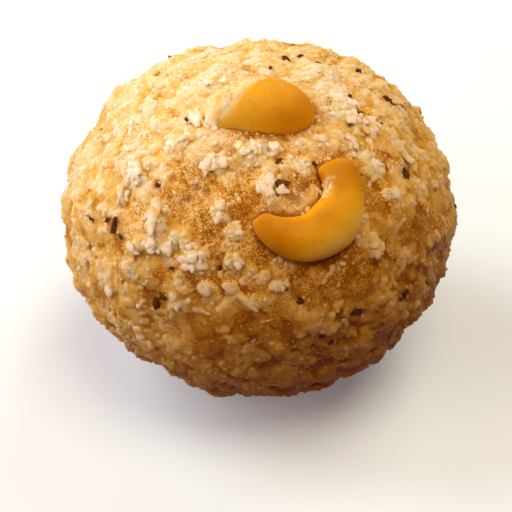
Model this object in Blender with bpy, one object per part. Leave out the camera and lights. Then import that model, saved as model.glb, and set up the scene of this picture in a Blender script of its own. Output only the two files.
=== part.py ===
"""Rava ladoo: a hand-rolled ball of roasted semolina, sugar, ghee and coconut, with two roasted
cashew kernels pressed into it.

Metres, +Z up. The ladoo stands on a small flat spot at z = 0 with the ball's middle above the
origin, and its front, where the curled cashew sits, faces -Y.
"""

import math
import random

import bmesh
import bpy
from mathutils import Matrix, Vector, noise

MM = 0.001

# The ball. It is wider than it is high, and its shoulders are a little fuller than an ellipse's.
HALF_WIDTH = 27.5 * MM
HALF_HEIGHT = 22.9 * MM
FULLNESS = 2.12
CENTRE_HEIGHT = 22.3 * MM

# Broad bulges and flats that the hands left: azimuth, elevation, height and spread of each.
HAND_MARKS = (
    (-88, 3, 0.5 * MM, 18),
    (-79, -17, -0.9 * MM, 15),
    (-103, 18, -0.85 * MM, 20),
    (-160, 52, -0.7 * MM, 19),
    (-40, 40, 0.4 * MM, 26),
    (-50, -35, -0.4 * MM, 26),
    (62, -22, -0.6 * MM, 30),
    (142, 47, 0.5 * MM, 20),
    (160, 5, -0.5 * MM, 28),
    (200, -20, 0.5 * MM, 30),
    (8, 58, -0.3 * MM, 24),
)

# Relief of the pressed crumb: long swells, with lumps of crumb on them.
SWELL_LENGTH = 9.0 * MM
SWELL_HEIGHT = 0.8 * MM
LUMP_SIZE = 4.4 * MM
LUMP_HEIGHT = 1.25 * MM
LUMP_LEVEL = 0.5
BALL_CUTS = 23
FOOT_FADE = 3.0 * MM

# Flakes of coconut and cardamom seeds that stand out of the crumb.
FLAKE_COUNT = 74
FLAKE_LENGTH = (2.2 * MM, 4.2 * MM)
FLAKE_WIDTH = (1.2 * MM, 2.2 * MM)
FLAKE_THICKNESS = 1.2 * MM
FLAKE_LIFT = 0.05 * MM
SEED_COUNT = 34
SEED_LENGTH = (1.2 * MM, 1.9 * MM)
SEED_LIFT = 0.15 * MM
SEED_SLIMNESS = 0.7
CLEAR_OF_FLOOR = 2.2 * MM
CLEAR_OF_KERNEL = 2.6 * MM
SHARP_ANGLE = math.radians(38)
GOLDEN_ANGLE = math.pi * (3 - math.sqrt(5))

# Each kernel sits in a seat this much larger than itself all round.
SEAT_GAP = 0.3 * MM
KERNEL_SIDES = 20
KERNEL_RINGS = 18

# The curled kernel on the front. Outline: share of its length, half-width in its own plane.
FRONT_KERNEL = {
    "name": "cashew_front",
    "azimuth": 17.5,
    "elevation": 38.5,
    "rise": 0.15 * MM,
    "turn": 0.0,
    "lean": 0.0,
    "dip": 0.0,
    "arc_offset": (-1.15 * MM, 1.5 * MM),
    "arc_radius": 5.85 * MM,
    "arc_from": 202.0,
    "arc_to": 389.0,
    "opening": 0.45 * MM,
    "head_skew": 20.0,
    "outline": ((0.0, 1.7), (0.1, 2.1), (0.2, 2.5), (0.32, 2.95), (0.5, 3.4), (0.62, 3.35),
                (0.74, 2.85), (0.85, 2.7), (0.92, 2.85), (1.0, 3.1)),
    "flatness": 0.88,
    "bluntness": 4.2,
    "wrap": 40.0 * MM,
    "colour": (0.66, 0.28, 0.03),
}

# The plump kernel on top, lying on its inner side, with its far end under the crumb.
TOP_KERNEL = {
    "name": "cashew_top",
    "azimuth": 0.0,
    "elevation": 69.2,
    "rise": -0.45 * MM,
    "turn": 6.0,
    "lean": 45.0,
    "dip": 9.0,
    "arc_offset": (0.0, -6.2 * MM),
    "arc_radius": 7.6 * MM,
    "arc_from": 143.0,
    "arc_to": 37.0,
    "opening": 0.0,
    "head_skew": 0.0,
    "outline": ((0.0, 2.6), (0.2, 3.2), (0.45, 3.8), (0.7, 4.0), (1.0, 3.6)),
    "flatness": 0.9,
    "bluntness": 2.9,
    "wrap": 60.0 * MM,
    "colour": (0.72, 0.35, 0.06),
}

LADOO_COLOUR = (0.72, 0.45, 0.17)


def heading(azimuth, elevation):
    """Unit vector of a direction from the ball's centre. Azimuth 0 is the front, 90 the right."""
    a = math.radians(azimuth)
    e = math.radians(elevation)
    return Vector((math.sin(a) * math.cos(e), -math.cos(a) * math.cos(e), math.sin(e)))


def smooth_ball_radius(direction):
    """Distance from the centre to the bare ball, before hand marks and crumb."""
    level = math.hypot(direction.x, direction.y) / HALF_WIDTH
    upright = abs(direction.z) / HALF_HEIGHT
    return (level**FULLNESS + upright**FULLNESS) ** (-1 / FULLNESS)


def hand_marks(direction):
    """Height that the broad bulges add in this direction."""
    height = 0.0
    for azimuth, elevation, depth, spread in HAND_MARKS:
        away = direction.angle(heading(azimuth, elevation)) / math.radians(spread)
        height += depth * math.exp(-away * away)
    return height


def crumb_relief(point):
    """Height of the crumb at a point of the ball, faded out towards the flat foot."""
    swell = SWELL_HEIGHT * noise.noise(point / SWELL_LENGTH)
    distances, _ = noise.voronoi(point / LUMP_SIZE)
    lump = LUMP_HEIGHT * (LUMP_LEVEL - distances[0])
    above_foot = (point.z + CENTRE_HEIGHT) / FOOT_FADE
    return (swell + lump) * min(1.0, max(0.0, above_foot))


def ball_radius(direction):
    """Distance from the centre to the crumb's surface."""
    bare = smooth_ball_radius(direction) + hand_marks(direction)
    return bare + crumb_relief(direction * bare)


def ball_normal(direction):
    """Outward normal of the bare ball in this direction."""
    level = math.hypot(direction.x, direction.y)
    side = (level / HALF_WIDTH) ** (FULLNESS - 1) / HALF_WIDTH
    up = math.copysign((abs(direction.z) / HALF_HEIGHT) ** (FULLNESS - 1) / HALF_HEIGHT, direction.z)
    if level < 1e-9:
        return Vector((0, 0, math.copysign(1, direction.z)))
    return Vector((direction.x / level * side, direction.y / level * side, up)).normalized()


def surface_axes(direction):
    """Level tangent, rising tangent and outward normal of the ball in this direction."""
    normal = ball_normal(direction)
    level = Vector((0, 0, 1)).cross(normal)
    level = level.normalized() if level.length > 1e-6 else Vector((1, 0, 0))
    return level, normal.cross(level), normal


def through(points, share):
    """Smooth curve through (share, value) points, read at a share from 0 to 1."""
    last = len(points) - 1
    i = min(max(sum(1 for at, _ in points if at <= share) - 1, 0), last - 1)
    (x0, y0), (x1, y1) = points[i], points[i + 1]
    before = points[max(i - 1, 0)]
    after = points[min(i + 2, last)]
    slope0 = (y1 - before[1]) / (x1 - before[0])
    slope1 = (after[1] - y0) / (after[0] - x0)
    t = (share - x0) / (x1 - x0)
    span = x1 - x0
    return (
        y0 * (1 + 2 * t) * (1 - t) ** 2
        + y1 * t * t * (3 - 2 * t)
        + slope0 * span * t * (1 - t) ** 2
        - slope1 * span * t * t * (1 - t)
    )


def kernel_frame(kernel):
    """Matrix from the kernel's own plane (X, Y, with Z out of it) to the ladoo."""
    direction = heading(kernel["azimuth"], kernel["elevation"])
    level, rising, normal = surface_axes(direction)
    foot = direction * (smooth_ball_radius(direction) + hand_marks(direction))
    place = Matrix.Translation(foot + normal * kernel["rise"] + Vector((0, 0, CENTRE_HEIGHT)))
    axes = Matrix((level, rising, normal)).transposed().to_4x4()
    turn = Matrix.Rotation(math.radians(kernel["turn"]), 4, "Z")
    dip = Matrix.Rotation(math.radians(kernel["dip"]), 4, "Y")
    lean = Matrix.Rotation(math.radians(kernel["lean"]), 4, "X")
    return place @ axes @ turn @ dip @ lean


def arc_way(kernel):
    """1 where the kernel's arc runs anticlockwise, -1 where it runs clockwise."""
    return math.copysign(1, kernel["arc_to"] - kernel["arc_from"])


def kernel_point(kernel, share, side, swell):
    """A point of the kernel's skin: share runs from tip to head, side is the angle round it."""
    angle = math.radians(kernel["arc_from"] + (kernel["arc_to"] - kernel["arc_from"]) * share)
    radius = kernel["arc_radius"] + kernel["opening"] * share**4
    middle = Vector((math.cos(angle), math.sin(angle), 0)) * radius
    middle += Vector((*kernel["arc_offset"], 0))
    angle -= math.radians(kernel["head_skew"]) * share**4
    out = Vector((math.cos(angle), math.sin(angle), 0))
    round_end = (1 - abs(2 * share - 1) ** kernel["bluntness"]) ** (1 / kernel["bluntness"])
    half_width = through(kernel["outline"], share) * MM * round_end
    half_depth = half_width * kernel["flatness"]
    sink = middle.length_squared / (2 * kernel["wrap"])
    skin = middle + out * (half_width * math.cos(side))
    skin.z = half_depth * math.sin(side) - sink
    way = Vector((out.x * math.cos(side), out.y * math.cos(side), math.sin(side)))
    along = Vector((-out.y, out.x, 0)) * arc_way(kernel)
    end = abs(2 * share - 1) ** (kernel["bluntness"] * 2) * math.copysign(1, share - 0.5)
    return skin + (way * math.sqrt(1 - end * end) + along * end) * swell


def kernel_mesh(kernel, name, swell=0.0):
    """A ball pulled round an arc: its two poles become the kernel's tip and head."""
    bm = bmesh.new()
    bmesh.ops.create_uvsphere(bm, u_segments=KERNEL_SIDES, v_segments=KERNEL_RINGS, radius=1.0)
    for vert in bm.verts:
        share = (1 - max(-1.0, min(1.0, vert.co.z))) / 2
        side = math.atan2(vert.co.y, vert.co.x) * arc_way(kernel)
        vert.co = kernel_point(kernel, share, side, swell)
    mesh = bpy.data.meshes.new(name)
    bm.to_mesh(mesh)
    bm.free()
    mesh.shade_smooth()
    return mesh


def material(name, colour, roughness):
    made = bpy.data.materials.new(name)
    made.use_nodes = True
    shader = made.node_tree.nodes["Principled BSDF"]
    shader.inputs["Base Color"].default_value = (*colour, 1)
    shader.inputs["Roughness"].default_value = roughness
    shader.inputs["Metallic"].default_value = 0.0
    return made


def add_object(name, mesh, finish, collection=None):
    obj = bpy.data.objects.new(name, mesh)
    mesh.materials.append(finish)
    (collection or bpy.context.scene.collection).objects.link(obj)
    return obj


def ball_mesh(name):
    """A cube's grid blown up to the ball, then cut level to give the foot."""
    bm = bmesh.new()
    bmesh.ops.create_cube(bm, size=2.0)
    bmesh.ops.subdivide_edges(bm, edges=bm.edges[:], cuts=BALL_CUTS - 1, use_grid_fill=True)
    for vert in bm.verts:
        spread = Vector([math.tan(x * math.pi / 4) for x in vert.co]).normalized()
        vert.co = spread * ball_radius(spread) + Vector((0, 0, CENTRE_HEIGHT))
    cut = bmesh.ops.bisect_plane(
        bm,
        geom=bm.verts[:] + bm.edges[:] + bm.faces[:],
        dist=1e-7,
        plane_co=(0, 0, 0),
        plane_no=(0, 0, -1),
        clear_outer=True,
    )
    rim = [e for e in cut["geom_cut"] if isinstance(e, bmesh.types.BMEdge)]
    bmesh.ops.contextual_create(bm, geom=rim)
    bmesh.ops.recalc_face_normals(bm, faces=bm.faces)
    mesh = bpy.data.meshes.new(name)
    bm.to_mesh(mesh)
    bm.free()
    return mesh


def spots(count, start, rng):
    """Directions spread evenly over the ball on a golden spiral, each nudged a little."""
    for i in range(count):
        height = 1 - 2 * (i + 0.5) / count
        around = start + i * GOLDEN_ANGLE
        level = math.sqrt(1 - height * height)
        even = Vector((level * math.cos(around), level * math.sin(around), height))
        nudge = Vector([rng.uniform(-1, 1) for _ in range(3)]) / math.sqrt(count)
        yield (even + nudge).normalized()


def chip_mesh(name, size, direction, lift, spin, rng):
    """One flake or seed: a rough blob of 20 faces lying in the crumb."""
    bm = bmesh.new()
    bmesh.ops.create_icosphere(bm, subdivisions=1, radius=0.5)
    for vert in bm.verts:
        vert.co *= rng.uniform(0.86, 1.14)
    level, rising, normal = surface_axes(direction)
    centre = direction * ball_radius(direction) + normal * lift + Vector((0, 0, CENTRE_HEIGHT))
    axes = Matrix((level, rising, normal)).transposed().to_4x4()
    tilt = Matrix.Rotation(rng.uniform(-0.3, 0.3), 4, "Y")
    scale = Matrix.Diagonal((*size, 1))
    place = Matrix.Translation(centre) @ axes @ Matrix.Rotation(spin, 4, "Z") @ tilt @ scale
    bmesh.ops.transform(bm, matrix=place, verts=bm.verts)
    mesh = bpy.data.meshes.new(name)
    bm.to_mesh(mesh)
    bm.free()
    return mesh


def add_toppings(collection, finish, kernels):
    """Fills the collection with flakes and seeds, clear of the floor and of the kernels."""
    rng = random.Random(11)
    skins = [kernel.matrix_world @ v.co for kernel in kernels for v in kernel.data.vertices]
    flakes = [(direction, True) for direction in spots(FLAKE_COUNT, 0.0, rng)]
    seeds = [(direction, False) for direction in spots(SEED_COUNT, 1.3, rng)]
    for i, (direction, is_flake) in enumerate(flakes + seeds):
        if is_flake:
            size = (rng.uniform(*FLAKE_LENGTH), rng.uniform(*FLAKE_WIDTH), FLAKE_THICKNESS)
            lift = FLAKE_LIFT
        else:
            length = rng.uniform(*SEED_LENGTH)
            size = (length, length * SEED_SLIMNESS, length * SEED_SLIMNESS)
            lift = SEED_LIFT
        chip = chip_mesh(f"chip_{i}", size, direction, lift, rng.uniform(0, math.pi), rng)
        point = direction * ball_radius(direction) + Vector((0, 0, CENTRE_HEIGHT))
        reach = min((point - skin).length for skin in skins)
        if point.z > CLEAR_OF_FLOOR and reach > CLEAR_OF_KERNEL:
            add_object(chip.name, chip, finish, collection)


def apply_modifiers(obj):
    graph = bpy.context.evaluated_depsgraph_get()
    mesh = bpy.data.meshes.new_from_object(obj.evaluated_get(graph))
    mesh.name = obj.name
    obj.modifiers.clear()
    obj.data = mesh


def boolean(obj, operation, **operand):
    modifier = obj.modifiers.new(operation.capitalize(), "BOOLEAN")
    modifier.operation = operation
    modifier.solver = "EXACT"
    for name, value in operand.items():
        setattr(modifier, name, value)
    return modifier


def main():
    for obj in list(bpy.data.objects):
        bpy.data.objects.remove(obj)

    crumb = material("ladoo_crumb", LADOO_COLOUR, 0.75)
    ladoo = add_object("ladoo", ball_mesh("ladoo"), crumb)

    kernels = []
    seats = []
    for kernel in (FRONT_KERNEL, TOP_KERNEL):
        name = kernel["name"]
        nut = material(name + "_skin", kernel["colour"], 0.35)
        kernels.append(add_object(name, kernel_mesh(kernel, name), nut))
        seats.append(add_object(name + "_seat", kernel_mesh(kernel, name + "_seat", SEAT_GAP), crumb))
        seats[-1].hide_render = True
        seats[-1].display_type = "WIRE"
        for obj in (kernels[-1], seats[-1]):
            obj.parent = ladoo
            obj.matrix_local = kernel_frame(kernel)
    bpy.context.view_layer.update()

    toppings = bpy.data.collections.new("toppings")
    bpy.context.scene.collection.children.link(toppings)
    add_toppings(toppings, crumb, kernels)
    boolean(ladoo, "UNION", operand_type="COLLECTION", collection=toppings)
    apply_modifiers(ladoo)
    for chip in list(toppings.objects):
        bpy.data.objects.remove(chip)
    bpy.data.collections.remove(toppings)
    ladoo.data.shade_smooth()
    ladoo.data.set_sharp_from_angle(angle=SHARP_ANGLE)
    for seat in seats:
        boolean(ladoo, "DIFFERENCE", object=seat)


main()
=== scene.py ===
import itertools
import math

import bpy
import numpy as np
from mathutils import Matrix, Vector, noise
from mathutils.bvhtree import BVHTree
from mathutils.kdtree import KDTree


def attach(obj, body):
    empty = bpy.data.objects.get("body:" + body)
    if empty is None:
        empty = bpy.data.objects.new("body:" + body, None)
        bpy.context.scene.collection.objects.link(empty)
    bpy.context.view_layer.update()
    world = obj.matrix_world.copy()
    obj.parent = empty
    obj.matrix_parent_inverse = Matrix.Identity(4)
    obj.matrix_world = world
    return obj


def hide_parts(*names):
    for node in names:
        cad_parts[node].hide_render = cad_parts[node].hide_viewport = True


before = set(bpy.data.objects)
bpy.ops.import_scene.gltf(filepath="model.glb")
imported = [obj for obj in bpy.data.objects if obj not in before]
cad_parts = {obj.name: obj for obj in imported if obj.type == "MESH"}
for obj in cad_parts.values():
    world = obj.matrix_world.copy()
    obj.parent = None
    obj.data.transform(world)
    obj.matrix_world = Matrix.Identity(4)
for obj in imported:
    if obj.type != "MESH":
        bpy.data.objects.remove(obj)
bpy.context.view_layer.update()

MM = 0.001

# Without a seed of its own, noise_vector would take one from the clock.
noise.seed_set(1)

# ---- the ball, as the solid has it

HALF_WIDTH = 27.5 * MM
HALF_HEIGHT = 22.9 * MM
FULLNESS = 2.12
CENTRE = np.array((0.0, 0.0, 22.3 * MM))
HAND_MARKS = (
    (-88, 3, 0.5 * MM, 18),
    (-79, -17, -0.9 * MM, 15),
    (-103, 18, -0.85 * MM, 20),
    (-160, 52, -0.7 * MM, 19),
    (-40, 40, 0.4 * MM, 26),
    (-50, -35, -0.4 * MM, 26),
    (62, -22, -0.6 * MM, 30),
    (142, 47, 0.5 * MM, 20),
    (160, 5, -0.5 * MM, 28),
    (200, -20, 0.5 * MM, 30),
    (8, 58, -0.3 * MM, 24),
)
SWELL_LENGTH = 9.0 * MM
SWELL_HEIGHT = 0.8 * MM
LUMP_SIZE = 4.4 * MM
LUMP_HEIGHT = 1.25 * MM
LUMP_LEVEL = 0.5
FOOT_FADE = 3.0 * MM

FRONT_KERNEL = dict(
    name="cashew_front", azimuth=17.5, elevation=38.5, rise=0.15 * MM, turn=0.0, lean=0.0, dip=0.0,
    arc_offset=(-1.15 * MM, 1.5 * MM), arc_radius=5.85 * MM, arc_from=202.0, arc_to=389.0,
    opening=0.45 * MM, head_skew=20.0, flatness=0.88, bluntness=4.2, wrap=40.0 * MM,
    outline=((0.0, 1.7), (0.1, 2.1), (0.2, 2.5), (0.32, 2.95), (0.5, 3.4), (0.62, 3.35),
             (0.74, 2.85), (0.85, 2.7), (0.92, 2.85), (1.0, 3.1)),
)
TOP_KERNEL = dict(
    name="cashew_top", azimuth=0.0, elevation=69.2, rise=-0.45 * MM, turn=6.0, lean=45.0, dip=9.0,
    arc_offset=(0.0, -6.2 * MM), arc_radius=7.6 * MM, arc_from=143.0, arc_to=37.0,
    opening=0.0, head_skew=0.0, flatness=0.9, bluntness=2.9, wrap=60.0 * MM,
    outline=((0.0, 2.6), (0.2, 3.2), (0.45, 3.8), (0.7, 4.0), (1.0, 3.6)),
)


def heading(azimuth, elevation):
    """Direction at this azimuth from the front (-Y) and this elevation, in degrees."""
    a = math.radians(azimuth)
    e = math.radians(elevation)
    return np.array((math.sin(a) * math.cos(e), -math.cos(a) * math.cos(e), math.sin(e)))


def unit(vectors):
    return vectors / np.linalg.norm(vectors, axis=-1, keepdims=True)


def halo(away, reach):
    """From 1 at no distance down to nearly 0 beyond the reach."""
    return np.exp(-((away / reach) ** 2))


def bare_radius(directions):
    """Distance from the centre to the bare ball with its hand marks, for many directions."""
    level = np.hypot(directions[:, 0], directions[:, 1]) / HALF_WIDTH
    upright = np.abs(directions[:, 2]) / HALF_HEIGHT
    radius = (level**FULLNESS + upright**FULLNESS) ** (-1 / FULLNESS)
    for azimuth, elevation, depth, spread in HAND_MARKS:
        away = np.arccos(np.clip(directions @ heading(azimuth, elevation), -1, 1))
        radius = radius + depth * halo(away, math.radians(spread))
    return radius


def ball_radius(directions):
    """Distance from the centre to the swells and lumps that the solid has."""
    bare = bare_radius(directions)
    relief = np.empty(len(directions))
    for i, (x, y, z) in enumerate(directions * bare[:, None]):
        point = Vector((x, y, z))
        swell = SWELL_HEIGHT * noise.noise(point / SWELL_LENGTH)
        distances, _ = noise.voronoi(point / LUMP_SIZE)
        relief[i] = swell + LUMP_HEIGHT * (LUMP_LEVEL - distances[0])
    above_foot = (directions[:, 2] * bare + CENTRE[2]) / FOOT_FADE
    return bare + relief * np.clip(above_foot, 0, 1)


def ball_normals(directions):
    """Outward normals of the bare ball, for many directions."""
    level = np.maximum(np.hypot(directions[:, 0], directions[:, 1]), 1e-9)
    side = (level / HALF_WIDTH) ** (FULLNESS - 1) / HALF_WIDTH
    up = (np.abs(directions[:, 2]) / HALF_HEIGHT) ** (FULLNESS - 1) / HALF_HEIGHT
    across = directions[:, :2] / level[:, None] * side[:, None]
    return unit(np.column_stack((across, np.sign(directions[:, 2]) * up)))


# ---- meshes out of arrays


def set_attributes(mesh, **attributes):
    """One number for each point of the mesh under each name."""
    for key, values in attributes.items():
        attribute = mesh.attributes.new(key, "FLOAT", "POINT")
        attribute.data.foreach_set("value", values.astype(np.float32))


def add_mesh(name, points, faces, finish, places=None, outward=None, softness=0.0, **attributes):
    """A mesh object from arrays. Places are its UV map, one row per face corner. Softness turns its
    normals towards the outward ones, as light that goes through the crumb softens its shading."""
    mesh = bpy.data.meshes.new(name)
    mesh.from_pydata(points.tolist(), [], faces.tolist())
    if places is not None:
        layer = mesh.uv_layers.new(name="OFBake", do_init=False)
        layer.uv.foreach_set("vector", places.astype(np.float32).ravel())
    set_attributes(mesh, **attributes)
    mesh.shade_smooth()
    if outward is not None:
        own = np.empty(len(points) * 3, np.float32)
        mesh.vertex_normals.foreach_get("vector", own)
        blend = own.reshape(-1, 3) * (1 - softness) + outward * softness
        mesh.normals_split_custom_set_from_vertices(unit(blend).tolist())
    mesh.materials.append(finish)
    obj = bpy.data.objects.new(name, mesh)
    bpy.context.scene.collection.objects.link(obj)
    return obj


def grid_cells(rows, columns):
    """Corners of each cell of a grid, as (row, column)."""
    a, b = (part.ravel() for part in np.meshgrid(np.arange(rows), np.arange(columns), indexing="ij"))
    return np.stack((a, b, a + 1, b, a + 1, b + 1, a, b + 1), 1).reshape(-1, 4, 2)


def halved(cells):
    """Two triangles for each cell."""
    return cells[:, (0, 1, 2, 0, 2, 3)].reshape(-1, 3, 2)


def ball_grid(cuts):
    """A cube's grid blown up to a ball: directions, triangles, and UV places of their corners."""
    cells = grid_cells(cuts, cuts)
    odd = (cells[:, 0].sum(1) % 2).astype(bool)
    cells[odd] = np.roll(cells[odd], 1, axis=1)
    corners = halved(cells)
    keys = []
    places = []
    for number, (axis, way) in enumerate(((0, 1), (0, -1), (1, 1), (1, -1), (2, 1), (2, -1))):
        across, along = ((1, 2), (2, 0), (0, 1))[axis][::way]
        key = np.full((*corners.shape[:2], 3), cuts if way > 0 else 0)
        key[..., (across, along)] = corners
        keys.append(key.reshape(-1, 3))
        places.append((0.01 + 0.98 * corners / cuts + (number % 3, number // 3)) / (3, 2))
    unique, inverse = np.unique(np.concatenate(keys), axis=0, return_inverse=True)
    spread = np.tan((2 * unique / cuts - 1) * math.pi / 4)
    return unit(spread), inverse.reshape(-1, 3), np.concatenate(places).reshape(-1, 2)


def pebble(frequency):
    """A round template of 8 * frequency**2 faces: points, triangles and UV places of their corners."""
    cells = []
    for a in range(frequency):
        for b in range(frequency - a):
            cells.append(((a, b), (a + 1, b), (a, b + 1)))
            if a + b < frequency - 1:
                cells.append(((a + 1, b), (a + 1, b + 1), (a, b + 1)))
    keys = []
    places = []
    for sx, sy, sz in itertools.product((1, -1), repeat=3):
        corners = np.array(cells)[:, ::sx * sy * sz]
        third = frequency - corners.sum(2, keepdims=True)
        keys.append(np.concatenate((corners, third), 2).reshape(-1, 3) * (sx, sy, sz))
        flat = corners / frequency if sz > 0 else 1 - corners[..., ::-1] / frequency
        places.append(0.5 + 0.5 * np.array((sx, sy)) * flat)
    unique, inverse = np.unique(np.concatenate(keys), axis=0, return_inverse=True)
    return unit(unique.astype(float)), inverse.reshape(-1, 3), np.concatenate(places).reshape(-1, 2)


def scatter(name, centres, axes, sizes, rough, ragged, frequency, finish, rng, tones, levels, softness):
    """Joins one uneven pebble per place into a mesh. Axes are 3 rows per piece, sizes full lengths,
    rough is the height of its knobs and ragged that of the waves in its outline. Tones go to the
    attribute tone, and rise is how far (mm) a point lies beyond its piece's level from the centre."""
    template, triangles, places = pebble(frequency)
    count = len(centres)
    bumps = unit(rng.normal(size=(count, 8, 3)))
    heights = rng.uniform(-rough, rough, (count, 8))
    closeness = np.clip(np.einsum("vk,nbk->nvb", template, bumps), 0, 1) ** 5
    swell = 1 + np.einsum("nvb,nb->nv", closeness, heights)
    around = np.arctan2(template[:, 1], template[:, 0])
    for waves in range(2, 8):
        phase = rng.uniform(0, 2 * math.pi, (count, 1))
        depth = ragged * rng.uniform(0.3, 1, (count, 1))
        swell = swell + depth * np.sin(waves * around + phase) / math.sqrt(waves)
    jitter = 1 + rng.uniform(-rough, rough, (count, len(template))) * 0.2
    local = template[None] * (swell * jitter)[..., None] * (sizes[:, None] / 2)
    points = centres[:, None] + np.einsum("nvk,nkc->nvc", local, axes)
    faces = triangles[None] + (np.arange(count) * len(template))[:, None, None]
    side = math.ceil(math.sqrt(count))
    cell = np.stack((np.arange(count) % side, np.arange(count) // side), 1)[:, None]
    spots = (cell + 0.06 + 0.88 * places[None]) / side
    rise = (np.linalg.norm(points - CENTRE, axis=2) - levels[:, None]) / MM
    outward = np.repeat(ball_normals(unit(centres - CENTRE)), len(template), axis=0)
    return add_mesh(name, points.reshape(-1, 3), faces.reshape(-1, 3), finish, spots.reshape(-1, 2), outward,
                    softness, tone=np.repeat(tones, len(template)), rise=rise.ravel())


# ---- camera

CAMERA_LENS = 100.0
CAMERA_SENSOR = 36.0
CAMERA_ELEVATION = math.radians(36.0)
CAMERA_DISTANCE = 202.6 * MM
BALL_AT = (259.2, 215.0)
IMAGE = 512.0
FOCAL = IMAGE * CAMERA_LENS / CAMERA_SENSOR


def camera_axes():
    """Right, up and back of a camera that sees the ball's centre at pixel BALL_AT, and its place."""
    back = np.array((0.0, -math.cos(CAMERA_ELEVATION), math.sin(CAMERA_ELEVATION)))
    right = np.array((1.0, 0.0, 0.0))
    pan = math.atan((IMAGE / 2 - BALL_AT[0]) / FOCAL)
    tilt = math.atan((IMAGE / 2 - BALL_AT[1]) / FOCAL * math.cos(pan))
    b = back * math.cos(tilt) + np.cross(back, right) * math.sin(tilt)
    u = np.cross(b, right)
    r = right * math.cos(pan) + b * math.sin(pan)
    return np.stack((r, u, np.cross(r, u))), CENTRE + back * CAMERA_DISTANCE


CAMERA_AXES, CAMERA_AT = camera_axes()


def sight_lines(pixels):
    pixels = np.asarray(pixels, float)
    local = np.stack((pixels[:, 0] - IMAGE / 2, IMAGE / 2 - pixels[:, 1], np.full(len(pixels), -FOCAL)), 1)
    return unit(local @ CAMERA_AXES)


def seen_directions(pixels):
    """Directions from the ball's centre to the spots of the bare ball seen at these pixels."""
    rays = sight_lines(pixels)
    travel = np.full(len(rays), CAMERA_DISTANCE - 32 * MM)
    for _ in range(60):
        away = CAMERA_AT + rays * travel[:, None] - CENTRE
        gap = np.linalg.norm(away, axis=1) - bare_radius(unit(away))
        travel += 0.7 * gap
    return unit(CAMERA_AT + rays * travel[:, None] - CENTRE)


def make_camera():
    camera = bpy.data.objects.new("camera", bpy.data.cameras.new("camera"))
    bpy.context.scene.collection.objects.link(camera)
    camera.data.lens = CAMERA_LENS
    camera.data.sensor_width = CAMERA_SENSOR
    camera.data.clip_start = 0.001
    turn = Matrix([list(row) for row in CAMERA_AXES.T]).to_4x4()
    camera.matrix_world = Matrix.Translation(Vector(CAMERA_AT)) @ turn
    bpy.context.scene.camera = camera


# ---- materials


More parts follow.
